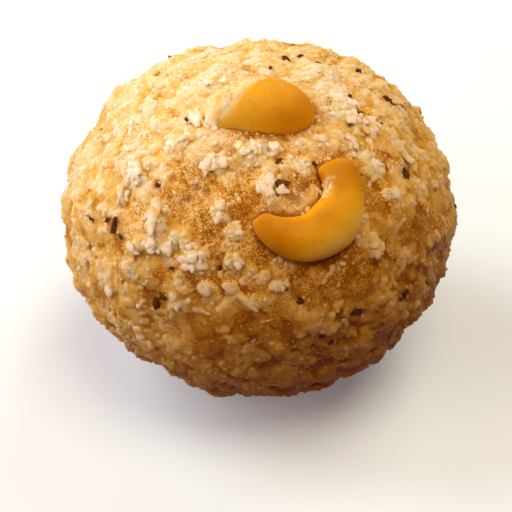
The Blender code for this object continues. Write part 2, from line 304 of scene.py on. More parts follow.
class Nodes:
    """Short ways to add and join nodes in one material."""

    def __init__(self, name):
        self.material = bpy.data.materials.new(name)
        self.material.use_nodes = True
        self.tree = self.material.node_tree
        self.shader = self.tree.nodes["Principled BSDF"]
        self.where = self.add("TexCoord").outputs["Object"]

    def plug(self, node, values):
        """Joins these inputs to sockets, or sets the numbers and colours that they hold."""
        for key, value in values.items():
            if isinstance(value, bpy.types.NodeSocket):
                self.tree.links.new(value, node.inputs[key])
            elif value is not None:
                node.inputs[key].default_value = value

    def add(self, kind, values=None, **settings):
        node = self.tree.nodes.new("ShaderNode" + kind)
        for key, value in settings.items():
            setattr(node, key, value)
        self.plug(node, values or {})
        return node

    def attribute(self, name):
        return self.add("Attribute", attribute_name=name).outputs["Fac"]

    def noise(self, size, detail=3.0, roughness=0.55, distortion=0.0):
        values = {"Vector": self.where, "Scale": 1 / size, "Detail": detail, "Roughness": roughness}
        return self.add("TexNoise", {**values, "Distortion": distortion}).outputs["Fac"]

    def cells(self, size, where=None):
        """Outputs of a cell pattern; Distance grows from each cell's middle, in cell sizes."""
        return self.add("TexVoronoi", {"Vector": where or self.where, "Scale": 1 / size}).outputs

    def warped(self, size, amount):
        """Object coordinates shaken by noise."""
        shake = self.add("TexNoise", {"Vector": self.where, "Scale": 1 / size}).outputs["Color"]
        values = {0: shake, 1: (amount, amount, amount), 2: self.where}
        return self.add("VectorMath", values, operation="MULTIPLY_ADD").outputs[0]

    def math(self, operation, *values, clamp=False):
        values = dict(enumerate(values))
        return self.add("Math", values, operation=operation, use_clamp=clamp).outputs[0]

    def total(self, *values, clamp=False):
        """Sum of these values, clamped to 0 to 1 at the end if asked."""
        result = values[0]
        for number, value in enumerate(values[1:], 2):
            result = self.math("ADD", result, value, clamp=clamp and number == len(values))
        return result

    def times(self, a, b, clamp=False):
        return self.math("MULTIPLY", a, b, clamp=clamp)

    def spread(self, value, amount):
        """A pattern from 0 to 1 as a shift of up to half this amount each way."""
        return self.times(self.math("SUBTRACT", value, 0.5), amount)

    def range(self, value, low, high, to_low=0.0, to_high=1.0):
        values = {"Value": value, "From Min": low, "From Max": high, "To Min": to_low, "To Max": to_high}
        return self.add("MapRange", values, interpolation_type="SMOOTHSTEP").outputs["Result"]

    def band(self, value, low, full, still, gone):
        """1 between full and still, falling to 0 at low and at gone."""
        return self.times(self.range(value, low, full), self.range(value, still, gone, 1.0, 0.0))

    def ramp(self, value, *stops):
        node = self.add("ValToRGB", {"Fac": value})
        elements = node.color_ramp.elements
        while len(elements) < len(stops):
            elements.new(0.5)
        for element, (at, colour) in zip(elements, stops):
            element.position = at
            element.color = (*colour, 1)
        return node.outputs["Color"]

    def mix(self, share, a, b):
        """Colour a, turning into colour b as the share grows. A Mix node's colours are 6 and 7."""
        a, b = ((*colour, 1) if isinstance(colour, tuple) else colour for colour in (a, b))
        return self.add("Mix", {"Factor": share, 6: a, 7: b}, data_type="RGBA").outputs[2]

    def bump(self, height, distance, strength=0.5):
        values = {"Distance": distance, "Strength": strength, "Height": height}
        return self.add("Bump", values).outputs["Normal"]

    def finish(self, colour, roughness, normal=None, specular=0.1, glow=0.0, radius=(1.0, 0.55, 0.2),
               depth=1.0 * MM):
        self.plug(self.shader, {
            "Base Color": colour, "Roughness": roughness, "Normal": normal, "Specular IOR Level": specular,
            "Subsurface Weight": glow, "Subsurface Radius": radius, "Subsurface Scale": depth,
        })
        return self.material


AMBER = (
    (0.0, (0.40, 0.125, 0.004)),
    (0.2, (0.60, 0.245, 0.014)),
    (0.4, (0.75, 0.385, 0.050)),
    (0.6, (0.87, 0.545, 0.155)),
    (0.8, (0.94, 0.69, 0.37)),
    (1.0, (0.96, 0.81, 0.66)),
)
PALE_RAMP = ((0.0, (0.92, 0.64, 0.34)), (0.5, (0.98, 0.78, 0.56)), (1.0, (1.0, 0.90, 0.80)))
PASTE_AND_SHADE = (0.86, 0.53, 0.17)
SEED_RAMP = ((0.0, (0.065, 0.015, 0.003)), (0.5, (0.18, 0.055, 0.009)), (1.0, (0.42, 0.18, 0.035)))


def crumb_material():
    """The pressed crumb: amber paste with pale patches, with painted shade in its creases, stained and with
    painted shade beside the kernels and in the pits, and brown round the seeds.
    """
    n = Nodes("ladoo_crumb")
    warped = n.warped(0.8 * MM, 0.5 * MM)
    patches = n.noise(1.5 * MM, detail=5, roughness=0.55, distortion=0.8)
    grains = n.cells(0.8 * MM, where=warped)
    sand = n.cells(0.26 * MM, where=warped)
    sugar = n.cells(0.15 * MM)
    sandy = n.attribute("sandy")
    tone = n.total(n.attribute("tone"), n.spread(n.range(patches, 0.36, 0.64), 0.17),
                   n.spread(grains["Color"], 0.14))
    for grain, least, more in ((sand, 0.12, 0.32), (sugar, 0.06, 0.95)):
        share = n.math("MULTIPLY_ADD", sandy, more, least)
        tone = n.total(tone, n.times(n.spread(grain["Color"], 1.0), share))
    # Painted shade: darker in the creases between the lumps, more so towards the bottom.
    tone = n.math("SUBTRACT", tone, n.times(n.attribute("crease"), 0.16), clamp=True)
    # Brown: partly stain, partly painted shade beside the kernels and in the pits; stain round the seeds.
    stain = n.times(n.attribute("stain"), n.range(patches, 0.2, 0.7, 0.55, 1.0), clamp=True)
    colour = n.mix(stain, n.ramp(tone, *AMBER), (0.36, 0.12, 0.012))
    relief = n.bump(n.total(n.times(grains["Distance"], -0.5), n.times(sand["Distance"], -0.3)), 0.22 * MM)
    roughness = n.range(patches, 0.3, 0.75, 0.4, 0.6)
    return n.finish(colour, roughness, relief, 0.07, glow=0.9, radius=(1.0, 0.85, 0.7), depth=0.9 * MM)


def grain_material(name, ramp, roughness, foot=None):
    """Loose crumbs and flakes: each piece has its own tone, with a little mottling, and, where a foot colour
    is given, that colour near where it sits in the paste: partly paste on it, partly painted shade."""
    n = Nodes(name)
    mottle = n.noise(0.5 * MM, detail=3)
    colour = n.ramp(n.total(n.attribute("tone"), n.spread(mottle, 0.5), clamp=True), *ramp)
    if foot:
        bare = n.total(n.attribute("rise"), n.spread(mottle, 0.25))
        # Near its foot: partly paste on the crumb, partly painted shade where it meets the paste.
        colour = n.mix(n.range(bare, -0.05, 0.32), foot, colour)
    relief = n.bump(n.noise(0.22 * MM, detail=2), 0.06 * MM)
    return n.finish(colour, n.range(mottle, 0.3, 0.7, roughness - 0.08, roughness + 0.08), relief)


# ---- kernels


def through(points, share):
    """Height at this share of a smooth curve through the points."""
    last = len(points) - 1
    i = min(max(sum(1 for at, _ in points if at <= share) - 1, 0), last - 1)
    (x0, y0), (x1, y1) = points[i], points[i + 1]
    before = points[max(i - 1, 0)]
    after = points[min(i + 2, last)]
    slope0 = (y1 - before[1]) / (x1 - before[0])
    slope1 = (after[1] - y0) / (after[0] - x0)
    t = (share - x0) / (x1 - x0)
    span = x1 - x0
    return (
        y0 * (1 + 2 * t) * (1 - t) ** 2
        + y1 * t * t * (3 - 2 * t)
        + slope0 * span * t * (1 - t) ** 2
        - slope1 * span * t * t * (1 - t)
    )


def kernel_frame(kernel):
    """Where the kernel's own plane lies: turned, dipped and leant on the ball's skin."""
    direction = heading(kernel["azimuth"], kernel["elevation"])[None]
    normal = Vector(ball_normals(direction)[0])
    level = Vector((0, 0, 1)).cross(normal).normalized()
    foot = Vector(CENTRE + direction[0] * bare_radius(direction)[0])
    place = Matrix.Translation(foot + normal * kernel["rise"])
    axes = Matrix((level, normal.cross(level), normal)).transposed().to_4x4()
    turn = Matrix.Rotation(math.radians(kernel["turn"]), 4, "Z")
    dip = Matrix.Rotation(math.radians(kernel["dip"]), 4, "Y")
    lean = Matrix.Rotation(math.radians(kernel["lean"]), 4, "X")
    return place @ axes @ turn @ dip @ lean


def kernel_skin(kernel, share, side):
    """Point of the kernel's skin and the way out of it there, in the kernel's own plane."""
    way_round = math.copysign(1, kernel["arc_to"] - kernel["arc_from"])
    angle = math.radians(kernel["arc_from"] + (kernel["arc_to"] - kernel["arc_from"]) * share)
    radius = kernel["arc_radius"] + kernel["opening"] * share**4
    middle = Vector((math.cos(angle), math.sin(angle), 0)) * radius
    middle += Vector((*kernel["arc_offset"], 0))
    angle -= math.radians(kernel["head_skew"]) * share**4
    out = Vector((math.cos(angle), math.sin(angle), 0))
    round_end = (1 - abs(2 * share - 1) ** kernel["bluntness"]) ** (1 / kernel["bluntness"])
    half_width = through(kernel["outline"], share) * MM * round_end
    sink = middle.length_squared / (2 * kernel["wrap"])
    across = math.cos(side * way_round)
    upward = math.sin(side * way_round)
    skin = middle + out * (half_width * across)
    skin.z = half_width * kernel["flatness"] * upward - sink
    return skin, Vector((out.x * across, out.y * across, upward))


def kernel_piece(kernel, finish, relief):
    """The kernel as the solid has it, with a finer skin. Along and around are its attributes."""
    rings, sides = 110, 90
    place = kernel_frame(kernel)
    points = []
    along = []
    around = []
    for ring in range(rings + 1):
        share = (1 - math.cos(math.pi * ring / rings)) / 2
        for s in range(1 if ring in (0, rings) else sides):
            side = 2 * math.pi * s / sides
            skin, way = kernel_skin(kernel, share, side)
            points.append(place @ (skin + way * relief(skin, share, side)))
            along.append(share)
            around.append(side / (2 * math.pi))
    corners = halved(grid_cells(rings, sides))
    faces = np.clip(1 + (corners[..., 0] - 1) * sides + corners[..., 1] % sides, 0, len(points) - 1)
    whole = (faces != np.roll(faces, 1, axis=1)).all(1)
    faces = faces[whole]
    places = (corners[whole] / (rings, sides))[..., ::-1]
    points = np.array([tuple(p) for p in points])
    middle = points.mean(0)
    a, b, c = (points[faces[:, k]] for k in range(3))
    volume = np.einsum("ij,ij->i", a - middle, np.cross(b - middle, c - middle)).sum()
    if volume < 0:
        faces = faces[:, ::-1]
        places = places[:, ::-1]
    obj = add_mesh(kernel["name"] + "_piece", points, faces, finish, places.reshape(-1, 2),
                   ball_normals(unit(points - CENTRE)), 0.3, along=np.array(along), around=np.array(around))
    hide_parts(kernel["name"])
    return obj


def kernel_relief(seed, height, ridge=0.0):
    """Uneven skin, with a ridge along the inner side of the bend and a hollow flank below it."""
    shift = Vector((seed * 7.3, seed * 3.1, seed * 1.7))

    def relief(skin, share, side):
        broad = noise.noise(skin / (4.5 * MM) + shift)
        small = noise.noise(skin / (1.6 * MM) + shift)
        half_turns = side / math.pi
        inner = halo(half_turns - 0.70, 0.11) - 1.5 * halo(half_turns - 0.95, 0.14)
        bend = min(max((share - 0.2) / 0.2, 0), 1) * min(max((0.97 - share) / 0.1, 0), 1)
        return (broad * 0.75 + small * 0.25) * height + inner * bend * ridge

    return relief


def kernel_finish(n, fine, colour, share, pale, roughest, **glow):
    """A kernel's skin, with a few browner blotches, and pale where the share is high."""
    blotches = n.noise(1.7 * MM, detail=5, roughness=0.6)
    colour = n.mix(n.range(blotches, 0.56, 0.72, 0.0, 0.4), colour, (0.60, 0.21, 0.004))
    roughness = n.range(fine, 0.3, 0.7, 0.36, roughest)
    return n.finish(n.mix(share, colour, pale), roughness, n.bump(fine, 0.05 * MM, 0.35), **glow)


def front_kernel_material():
    """Deep orange at the tip and the head, paler on the outer side of the belly as a painted sheen in part,
    scuffed at the neck.
    """
    n = Nodes("cashew_front_skin")
    mottle = n.noise(2.6 * MM, roughness=0.5)
    fine = n.noise(0.6 * MM)
    along = n.attribute("along")
    around = n.attribute("around")
    # The pale outer side of the belly is in part a painted sheen.
    belly = n.band(along, 0.2, 0.45, 0.6, 0.84)
    outer = n.math("MAXIMUM", n.range(around, 0.06, 0.36, 1.0, 0.0), n.range(around, 0.85, 1.0))
    tone = n.math("MULTIPLY_ADD", n.times(belly, outer), 0.8, 0.26)
    tone = n.math("SUBTRACT", tone, n.range(along, 0.0, 0.4, 0.36, 0.0))
    tone = n.math("SUBTRACT", tone, n.range(along, 0.7, 0.9, 0.0, 0.16))
    tone = n.total(tone, n.spread(mottle, 0.5), n.spread(fine, 0.12), clamp=True)
    colour = n.ramp(tone, (0.0, (0.62, 0.24, 0.002)), (0.35, (0.82, 0.385, 0.005)),
                    (0.7, (0.93, 0.51, 0.028)), (1.0, (0.98, 0.58, 0.10)))
    neck = n.band(along, 0.65, 0.71, 0.84, 0.90)
    flank = n.band(around, 0.34, 0.40, 0.48, 0.56)
    scuff = n.times(n.times(neck, flank), n.range(fine, 0.35, 0.6))
    return kernel_finish(n, fine, colour, scuff, (0.95, 0.78, 0.48), 0.48, glow=0.6, depth=1.3 * MM)


def top_kernel_material():
    """Amber, paler at the covered end, in part a painted sheen where the light falls, and deeper towards the
    free end, with cream rubbed on beside the crumb that covers it.
    """
    n = Nodes("cashew_top_skin")
    mottle = n.noise(3.0 * MM, roughness=0.5)
    fine = n.noise(0.6 * MM)
    # Paler towards the covered end: in part the kernel's own colour, in part a painted sheen from the light.
    sheen_fade = n.range(n.attribute("along"), 0.2, 0.85, 0.52, 0.12)
    tone = n.total(sheen_fade, n.spread(mottle, 0.4), n.spread(fine, 0.15), clamp=True)
    colour = n.ramp(tone, (0.0, (0.74, 0.275, 0.003)), (0.4, (0.92, 0.455, 0.017)),
                    (0.7, (0.98, 0.61, 0.09)), (1.0, (0.98, 0.68, 0.20)))
    dusted = n.range(n.total(n.attribute("dusted"), n.spread(fine, 0.5)), 0.2, 0.9, 0.0, 0.9)
    return kernel_finish(n, fine, colour, dusted, (0.98, 0.76, 0.43), 0.5, glow=0.4)


front_piece = kernel_piece(FRONT_KERNEL, front_kernel_material(), kernel_relief(1.0, 0.18 * MM, 0.25 * MM))
top_piece = kernel_piece(TOP_KERNEL, top_kernel_material(), kernel_relief(2.0, 0.16 * MM))


def skin_tree(piece):
    mesh = piece.data
    return BVHTree.FromPolygons([v.co for v in mesh.vertices], [p.vertices for p in mesh.polygons])


KERNEL_TREES = (skin_tree(front_piece), skin_tree(top_piece))


def kernel_gap(points, reach=6 * MM):
    """Distance from each point to the nearest kernel's skin, at most reach."""
    gaps = np.full(len(points), reach)
    for i, point in enumerate(points):
        for tree in KERNEL_TREES:
            found = tree.find_nearest(Vector(point), gaps[i])
            if found[3] is not None:
                gaps[i] = min(gaps[i], found[3])
    return gaps


def under_kernel(directions):
    """True for a direction from the ball's centre that runs into a kernel."""
    centre = Vector(CENTRE)
    return np.array([any(tree.ray_cast(centre, ray)[3] is not None for tree in KERNEL_TREES)
                     for ray in map(Vector, directions)])


def kernel_directions(pixels):
    """Directions from the ball's centre to what these pixels show: a kernel, or else the ball."""
    directions = seen_directions(pixels)
    for i, ray in enumerate(sight_lines(pixels)):
        for tree in KERNEL_TREES:
            spot = tree.ray_cast(Vector(CAMERA_AT), Vector(ray))[0]
            if spot is not None:
                directions[i] = unit(np.array(spot) - CENTRE)
    return directions


def kernel_radius(directions):
    """Distance from the ball's centre to a kernel's outer skin, 0 where there is none."""
    outside = 40 * MM
    radius = np.zeros(len(directions))
    for i, direction in enumerate(directions):
        start = Vector(CENTRE + direction * outside)
        for tree in KERNEL_TREES:
            hit = tree.ray_cast(start, Vector(-direction), 30 * MM)[3]
            if hit is not None:
                radius[i] = max(radius[i], outside - hit)
    return radius


# ---- the crumb

# Pale places where the photo shows them: pixel, length, width and turn in the image. All are clusters
# of crumbs, apart from the flakes.
FLAKE = "flake"
PALE_SPOTS = (
    (268, 184, 3.0, 1.9, 20), (271, 196, 1.6, 1.2, 60), (196, 120, 2.0, 1.4, 0), (195, 258, 3.4, 2.2, 130),
    (155, 221, 5.2, 2.0, 98, FLAKE), (121, 197, 3.4, 0.8, 110, FLAKE), (134, 170, 3.4, 2.0, 100),
    (139, 177, 2.6, 1.8, 60), (219, 213, 2.6, 1.6, 100, FLAKE), (167, 247, 2.8, 1.5, 150),
    (136, 245, 2.8, 1.2, 20), (128, 264, 1.8, 1.4, 0), (241, 297, 4.4, 1.5, 38, FLAKE),
    (340, 100, 3.0, 3.6, 0), (329, 112, 2.2, 1.6, 90), (352, 116, 3.2, 2.4, 60),
    (371, 125, 2.6, 1.2, 80, FLAKE), (371, 245, 2.8, 1.7, 60, FLAKE), (145, 337, 3.6, 1.8, 60, FLAKE),
    (254, 150, 4.2, 1.6, 128), (216, 163, 3.4, 1.7, 165), (302, 167, 2.0, 1.1, 90), (302, 142, 1.6, 1.2, 0),
    (320, 142, 1.4, 1.0, 0), (354, 144, 1.8, 1.2, 30), (374, 164, 2.7, 2.0, 20), (401, 150, 3.4, 1.3, 55),
    (410, 161, 1.6, 1.1, 70), (391, 196, 2.0, 1.1, 20), (112, 290, 1.2, 1.0, 0), (102, 278, 1.6, 1.2, 0),
    (84, 263, 1.6, 1.2, 80, FLAKE), (282, 286, 1.5, 1.3, 0), (398, 110, 3.0, 1.6, 62, FLAKE),
    (235, 231, 2.0, 1.6, 60), (234, 263, 2.6, 1.7, 20), (206, 288, 2.0, 1.1, 20), (175, 306, 2.2, 1.5, 80),
    (117, 318, 2.4, 1.5, 40, FLAKE), (434, 236, 1.4, 0.9, 70, FLAKE), (276, 150, 2.0, 1.2, 140),
    (183, 143, 3.2, 1.6, 150), (132, 127, 2.4, 0.9, 70, FLAKE), (206, 88, 3.0, 1.6, 20),
)
# The whitest clumps, which stand out of the paste: pixel and reach in mm.
PROUD_CLUMPS = (
    (197, 253, 1.1), (188, 262, 0.9), (265, 183, 0.9), (336, 97, 1.1), (349, 107, 1.0), (195, 118, 0.8),
    (136, 170, 0.9), (243, 152, 0.9), (212, 163, 0.8), (110, 290, 0.7), (372, 122, 0.8), (151, 245, 0.6),
)
# Paste that heaps over a kernel: pixel and reach in mm.
KERNEL_HEAPS = (
    (200, 104, 2.6), (206, 96, 2.6), (215, 91, 2.3), (220, 98, 1.6), (224, 84, 1.9), (236, 79, 1.3),
    (247, 76, 0.9), (211, 107, 1.9), (211, 115, 1.2),
)
# Cream rubbed on the top kernel: pixel and reach in mm.
RUBBED_SPOTS = (
    (219, 100, 2.6), (227, 92, 2.4), (235, 85, 2.0), (247, 80, 1.5), (259, 77, 1.1), (220, 108, 1.5),
)
# Crumbs that lie over the kernels' edges: pixel, length, width and turn in the image.
KERNEL_COVER = (
    (238, 83, 2.8, 1.0, 150), (249, 78, 2.8, 0.9, 160), (262, 75, 2.8, 0.8, 178), (276, 75, 2.6, 0.7, 8),
    (290, 77, 2.4, 0.7, 22), (327, 186, 2.4, 1.2, 110), (294, 208, 2.4, 0.6, 165), (304, 205, 1.4, 0.5, 150),
)
# Dark seeds where the photo shows them: pixel, length, width and turn in the image.
SEED_SPOTS = (
    (286, 57, 1.2, 0.8, 70), (300, 56, 0.6, 0.4, 0), (319, 64, 1.1, 0.6, 40), (270, 69, 0.5, 0.4, 0),
    (355, 75, 0.6, 0.5, 0), (361, 115, 1.1, 0.7, 100), (350, 96, 0.6, 0.4, 0), (387, 102, 1.1, 0.7, 60),
    (282, 184, 1.5, 1.3, 0), (316, 164, 0.8, 0.5, 50), (279, 160, 0.8, 0.5, 150), (406, 173, 1.3, 0.8, 80),
    (158, 185, 0.8, 0.5, 0), (114, 226, 1.6, 0.7, 110), (107, 221, 0.9, 0.4, 130), (121, 237, 0.8, 0.4, 60),
    (93, 219, 0.6, 0.5, 0), (155, 304, 1.5, 0.7, 100), (161, 296, 1.0, 0.6, 30), (301, 301, 0.8, 0.6, 20),
    (357, 311, 1.2, 0.8, 20), (404, 293, 1.3, 0.6, 95), (322, 335, 0.7, 0.6, 0), (329, 340, 0.7, 0.6, 0),
    (170, 269, 0.5, 0.4, 0), (219, 270, 0.6, 0.5, 0), (100, 129, 0.4, 0.3, 0), (188, 120, 0.7, 0.5, 0),
)
# Small hollows in the paste, brown partly as painted shade, most of all just under the top kernel and in the
# front kernel's bend: pixel and reach in mm.
PITS = (
    (231, 153, 1.2), (250, 134, 1.1), (266, 135, 1.3), (281, 132, 1.1), (157, 184, 0.8), (174, 180, 0.8),
    (196, 187, 0.7), (205, 191, 0.8), (186, 199, 0.6), (133, 200, 0.5), (211, 236, 0.8), (222, 256, 0.7),
    (218, 268, 0.8), (203, 246, 0.6), (97, 134, 0.7), (190, 121, 0.6), (160, 98, 0.9), (245, 66, 0.9),
    (294, 198, 1.3), (303, 190, 1.1),
)
# Golden, sandy places between the pale ones: pixel and reach in mm. Those at (264, 134) and (284, 134), just
# under the top kernel, darken the paste there as painted shade.
SANDY_SPOTS = (
    (195, 186, 3.4), (225, 206, 3.0), (226, 226, 3.0), (214, 238, 2.4), (256, 206, 2.6), (184, 170, 2.6),
    (246, 178, 2.0), (240, 195, 2.4), (205, 218, 2.6), (180, 205, 2.2), (290, 150, 2.0), (300, 182, 2.2),
    (242, 132, 2.2), (215, 250, 2.2), (166, 205, 1.8), (186, 275, 1.6), (228, 280, 2.4), (236, 141, 2.0),
    (264, 134, 2.0), (284, 134, 1.6), (256, 248, 2.6), (187, 79, 1.4), (176, 115, 1.3), (152, 135, 1.3),
    (149, 92, 1.2), (137, 127, 1.2), (250, 67, 1.3), (160, 98, 1.3), (205, 60, 1.0), (140, 212, 2.2),
    (330, 260, 3.4), (352, 180, 2.6), (384, 198, 2.4), (360, 275, 3.4), (300, 265, 2.6), (260, 320, 3.6),
    (200, 330, 3.0),
)
# Paler paste: pixel and reach in mm.
PALER_SPOTS = (
    (132, 270, 4.6), (152, 284, 4.0), (168, 266, 3.0), (120, 288, 3.4), (338, 72, 4.0), (432, 196, 3.4),
    (292, 298, 5.0), (324, 80, 3.4), (86, 236, 3.0),
)

GOLDEN_ANGLE = math.pi * (3 - math.sqrt(5))
MEAN_RADIUS = 25 * MM


def spots(count, start, rng):
    """Directions spread evenly over the ball on a golden spiral, each nudged a little."""
    steps = np.arange(count)
    height = 1 - 2 * (steps + 0.5) / count
    around = start + steps * GOLDEN_ANGLE
    level = np.sqrt(1 - height**2)
    even = np.stack((level * np.cos(around), level * np.sin(around), height), 1)
    return unit(even + rng.uniform(-1, 1, (count, 3)) / math.sqrt(count) * 1.3)


def image_turned(directions, turns):
    """In-surface axes whose first one runs at these angles (degrees, clockwise) in the image."""
    normals = ball_normals(directions)
    radians = np.radians(turns)
    aim = np.cos(radians)[:, None] * CAMERA_AXES[0] - np.sin(radians)[:, None] * CAMERA_AXES[1]
    first = unit(aim - np.einsum("ij,ij->i", aim, normals)[:, None] * normals)
    return np.stack((first, np.cross(normals, first), normals), 1)


def random_turned(directions, rng):
    """In-surface axes, turned at random."""
    normals = ball_normals(directions)
    helper = np.where(np.abs(normals[:, 2:3]) < 0.9, (0.0, 0.0, 1.0), (0.0, -1.0, 0.0))
    first = unit(np.cross(helper, normals))
    angle = rng.uniform(0, 2 * math.pi, len(directions))[:, None]
    along = first * np.cos(angle) + np.cross(normals, first) * np.sin(angle)
    return np.stack((along, np.cross(normals, along), normals), 1)


def strewn(directions, axes, half_length, half_width, crowd, rng):
    """Directions strewn over one oval patch each, and how near the patch's middle each is."""
    spread = []
    nearness = []
    for direction, axis, a, b in zip(directions, axes, half_length, half_width):
        count = max(3, int(crowd * math.pi * a * b / MM**2))
        away = np.sqrt(rng.uniform(0, 1, count))
        angle = rng.uniform(0, 2 * math.pi, count)
        wave = 1 + 0.25 * np.sin(3 * angle + rng.uniform(0, 6)) + 0.15 * np.sin(5 * angle + rng.uniform(0, 6))
        offset = (away * wave * np.cos(angle) * a)[:, None] * axis[0]
        offset = offset + (away * wave * np.sin(angle) * b)[:, None] * axis[1]
        spread.append(unit(direction * MEAN_RADIUS + offset))
        nearness.append(1 - away)
    return np.concatenate(spread), np.concatenate(nearness)


def smooth_step(low, high, values):
    t = np.clip((values - low) / (high - low), 0, 1)
    return t * t * (3 - 2 * t)


def shown_ovals(table, find=seen_directions):
    """Directions, axes, lengths and widths of ovals that a table gives in the image."""
    rows = np.array([row[:5] for row in table])
    at = find(rows[:, :2])
    return at, image_turned(at, rows[:, 4]), rows[:, 2] * MM, rows[:, 3] * MM


def near_spots(points, middles, reach):
    """From 0 to 1, how near points lie to these middles, all from one origin."""
    share = np.zeros(len(points))
    for middle, far in zip(middles, reach):
        away = np.linalg.norm(points - middle, axis=1)
        share = np.maximum(share, np.exp(-((away / (far * MM)) ** 4)))
    return share


def near_seen(points, table, scale=1.0):
    """From 0 to 1, how near points about the ball's centre lie to a table's pixels and reaches."""
    rows = np.array(table)
    at = seen_directions(rows[:, :2])
    return near_spots(points, at * bare_radius(at)[:, None], rows[:, 2] * scale)


def lit_side_share(directions):
    """From 0 to 1, how near a direction points to the upper left, where the light falls; it paints light
    there.
    """
    return smooth_step(0.6, 0.95, directions @ heading(-66, 60))


def painted_light_shift(directions):
    """Painted light and shade: paler towards the top and the left, where the light falls, and deeper gold
    towards the foot and the right, away from it.
    """
    shift = 0.2 * (directions[:, 2] - 0.42) - 0.11 * directions[:, 0] * (1 - directions[:, 2])
    return shift + 0.08 * lit_side_share(directions)


def sandy_share(points):
    """From 0 to 1, how bare of pale crumbs the paste is at points about the ball's centre."""
    wild = np.array([noise.noise(p / (4.2 * MM)) * 0.7 + noise.noise(p / (1.9 * MM)) * 0.5
                     for p in map(Vector, points + 11 * MM)])
    # Fewer sandy patches on the lit upper left: painted light.
    wild = smooth_step(0.0, 0.32, wild) * (1 - 0.62 * lit_side_share(unit(points)))
    return np.maximum(wild, near_seen(points, SANDY_SPOTS))


def sandy_there(directions):
    return sandy_share(directions * bare_radius(directions)[:, None])


def rub_cream(kernel):
    """Marks how near each point of the kernel's skin lies to the cream rubbed on it."""
    rows = np.array(RUBBED_SPOTS)
    at = kernel_directions(rows[:, :2])
    at = CENTRE + at * kernel_radius(at)[:, None]
    skin = np.array([tuple(v.co) for v in kernel.data.vertices])
    set_attributes(kernel.data, dusted=near_spots(skin, at, rows[:, 2]))


rub_cream(top_piece)


def raised_spots():
    """Every lump and flake of the crumb: direction, axes, half length, half width, height, lift and
    tone."""
    rng = np.random.default_rng(5)
    rows = []

    def draw(where, low, high):
        return rng.uniform(low, high, len(where))

    def add(where, axes, length, width, rises, lifts, tones):
        """Rises, lifts and tones are (least, most, more where the crumb is pale)."""
        pale = 1 - sandy_there(where)
        rise, lift, tone = (draw(where, least, most) + more * pale
                            for least, most, more in (rises, lifts, tones))
        rows.extend(zip(where, axes, length, width, rise * MM, lift * MM, tone))

    def lumps(where, low, high, narrow, wide, rises, lifts, tones):
        """One oval lump in each place, of a half length from low to high in mm."""
        size = draw(where, low, high) * MM
        add(where, random_turned(where, rng), size, size * draw(where, narrow, wide), rises, lifts, tones)

    def knots(where, axes, half_length, half_width, crowd, rises, lifts, tones):
        """Clumps of round knobs that run into each other."""
        knobs, _ = strewn(where, axes, half_length, half_width, crowd, rng)
        lumps(knobs, 0.45, 1.0, 0.7, 1, rises, lifts, tones)

    lumps(spots(1400, 0.0, rng), 0.9, 2.4, 0.6, 1, (0.15, 0.3, 0.05), (-0.1, 0.1, 0.0), (0.34, 0.5, 0.12))
    where = spots(1150, 0.7, rng)
    where = where[sandy_there(where) + draw(where, -0.35, 0.35) < 0.55]
    size = draw(where, 0.6, 1.7) * MM
    knots(where, random_turned(where, rng), size, size * draw(where, 0.4, 0.9), 2.6,
          (0.12, 0.28, 0.1), (0.0, 0.2, 0.08), (0.48, 0.68, 0.1))
    lumps(spots(260, 1.9, rng), 0.9, 2.0, 0.3, 0.6, (0.15, 0.25, 0.08), (0.0, 0.15, 0.1), (0.5, 0.68, 0.1))
    where, axes, length, width = shown_ovals(PALE_SPOTS)
    knots(where, axes, length / 2, width / 2, 3.5, (0.25, 0.4, 0.0), (0.2, 0.45, 0.0), (0.68, 0.88, 0.0))
    return rows


def wavy(points, size, height, seed):
    """Uneven shifts, to give spots ragged edges."""
    shift = Vector((seed, seed * 2.0, seed * 3.0))
    return np.array([tuple(noise.noise_vector(Vector(p) / size + shift)) for p in points]) * height


def point_tree(points):
    tree = KDTree(len(points))
    for number, point in enumerate(points):
        tree.insert(point, number)
    tree.balance()
    return tree


BODY_CUTS = 128
BODY_LEAN = 0.3


def raised_paste(points, sandy):
    """Height of the lumps over points about the ball's centre, and the tone that they give the paste."""
    ragged = points + wavy(points, 1.3 * MM, 0.45 * MM, 1.0) + wavy(points, 0.55 * MM, 0.2 * MM, 5.0)
    tree = point_tree(ragged)
    ground = 0.49 - 0.22 * sandy
    weight = np.full(len(points), 1e-9)
    tone = weight * ground
    rows = raised_spots()
    middles = np.array([row[0] for row in rows])
    middles = middles * ball_radius(middles)[:, None]
    for middle, (_, axes, half_length, half_width, rise, lift, colour) in zip(middles, rows):
        ids = [i for _, i, _ in tree.find_range(Vector(middle), max(half_length, half_width))]
        if ids:
            away = ragged[ids] - middle
            far = (away @ axes[0] / half_length) ** 2 + (away @ axes[1] / half_width) ** 2
            top = np.maximum((lift + rise) * np.sqrt(np.clip(1 - far, 0, 1)), 0) / MM
            weight[ids] += top**4
            tone[ids] += top**4 * colour
    fine = np.array([noise.fractal(Vector(p) / (0.9 * MM), 1.0, 2.0, 3) for p in points])
    height = weight**0.25 * MM + (0.09 - 0.05 * sandy) * MM * fine
    return height, (tone + 1e-4 * ground) / (weight + 1e-4) - 0.07 * sandy


def heap_paste(directions, height, radius):
    """Lifts the radius where paste heaps over a kernel. Returns how thick it is, from 0 to 1."""
    rows = np.array(KERNEL_HEAPS)
    at = kernel_directions(rows[:, :2])
    heap = near_spots(directions * MEAN_RADIUS, at * MEAN_RADIUS, rows[:, 2])
    under = heap > 0.02
    over = kernel_radius(directions[under]) + 0.15 * height[under] + (0.4 * heap[under] - 0.2) * MM
    rise = smooth_step(0.02, 0.2, heap[under]) * (over - radius[under])
    radius[under] += np.maximum(rise, 0)
    return heap


